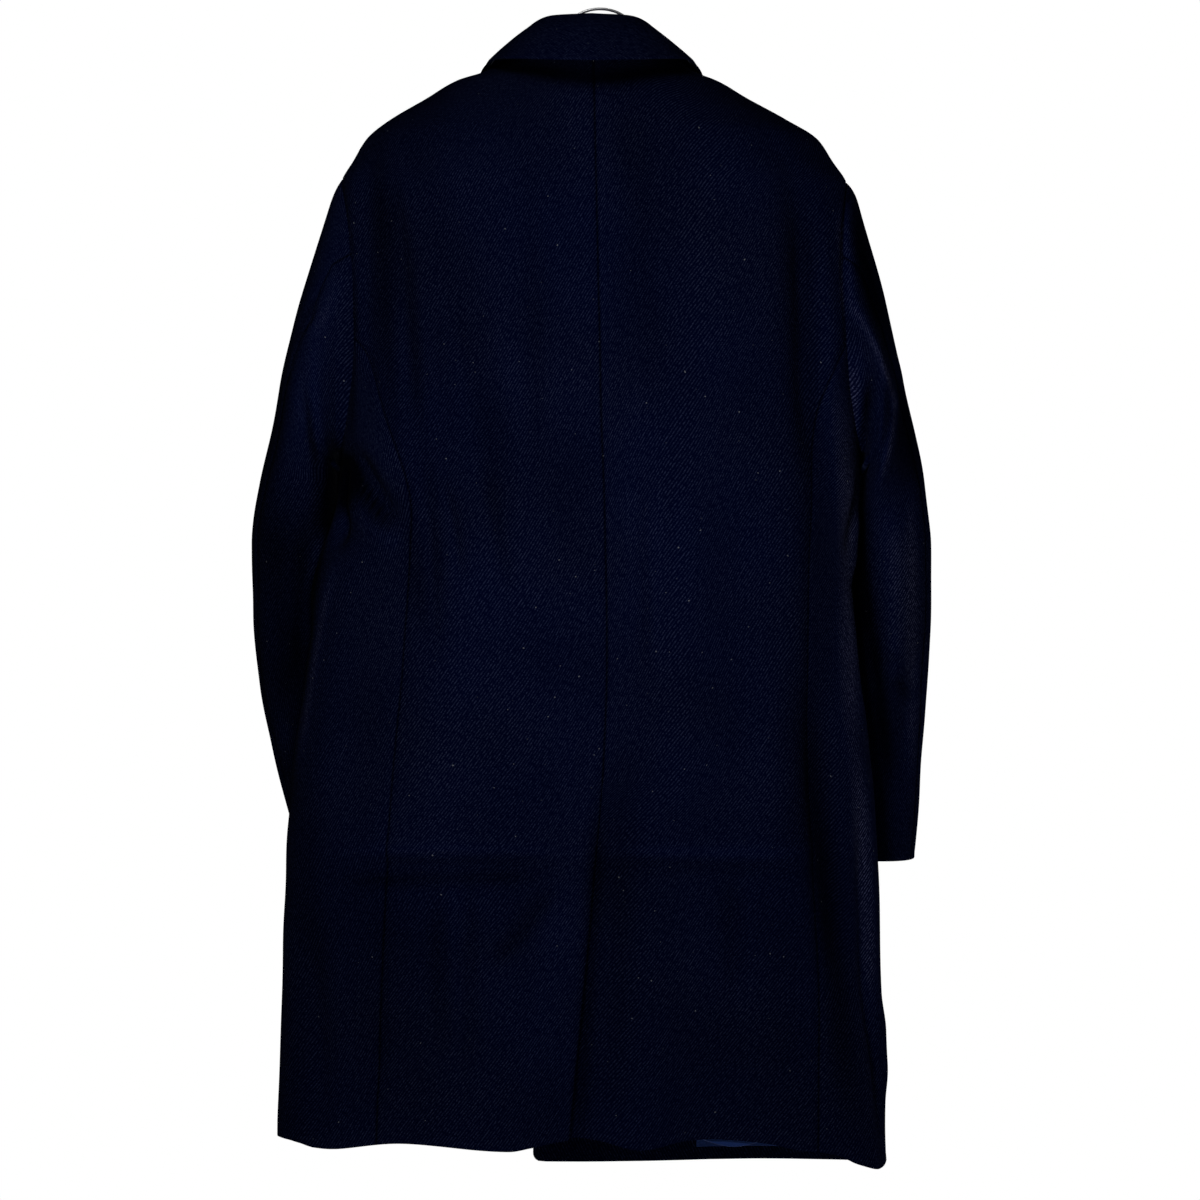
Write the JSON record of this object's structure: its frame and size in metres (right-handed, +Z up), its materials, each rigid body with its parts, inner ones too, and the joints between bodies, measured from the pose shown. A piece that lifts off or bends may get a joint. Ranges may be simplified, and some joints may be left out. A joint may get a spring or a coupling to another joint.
{
  "type": "duster coat on a hanger",
  "caption": "Knee-length tailored wool duster coat with a turn-down collar, two-piece sleeves and a centre back vent, hanging on a coat hanger.",
  "frame": {"origin": "where a rail bears on the inside top of the hanger's hook", "axes": "+Z up, +Y the way the wearer faces, +X to the wearer's right"},
  "size_m": [0.6296, 0.2809, 1.0486],
  "materials": {
    "wool": "matte navy twill",
    "lining": "satin",
    "button": "satin",
    "hanger": "satin varnish",
    "hook": "satin"
  },
  "bodies": {
    "root": {"back_left": "wool", "back_right": "wool", "side_left": "wool", "side_right": "wool", "front_left": "wool", "front_right": "wool", "lapel_left": "wool", "lapel_right": "wool", "sleeve_top_left": "wool", "sleeve_top_right": "wool", "sleeve_under_left": "wool", "sleeve_under_right": "wool", "collar": "wool", "lining_left": "lining", "lining_right": "lining", "lining_back": "lining", "button_1": "button", "button_2": "button", "button_3": "button", "hanger_body": "hanger", "hanger_hook": "hook"}
  },
  "joints": []
}
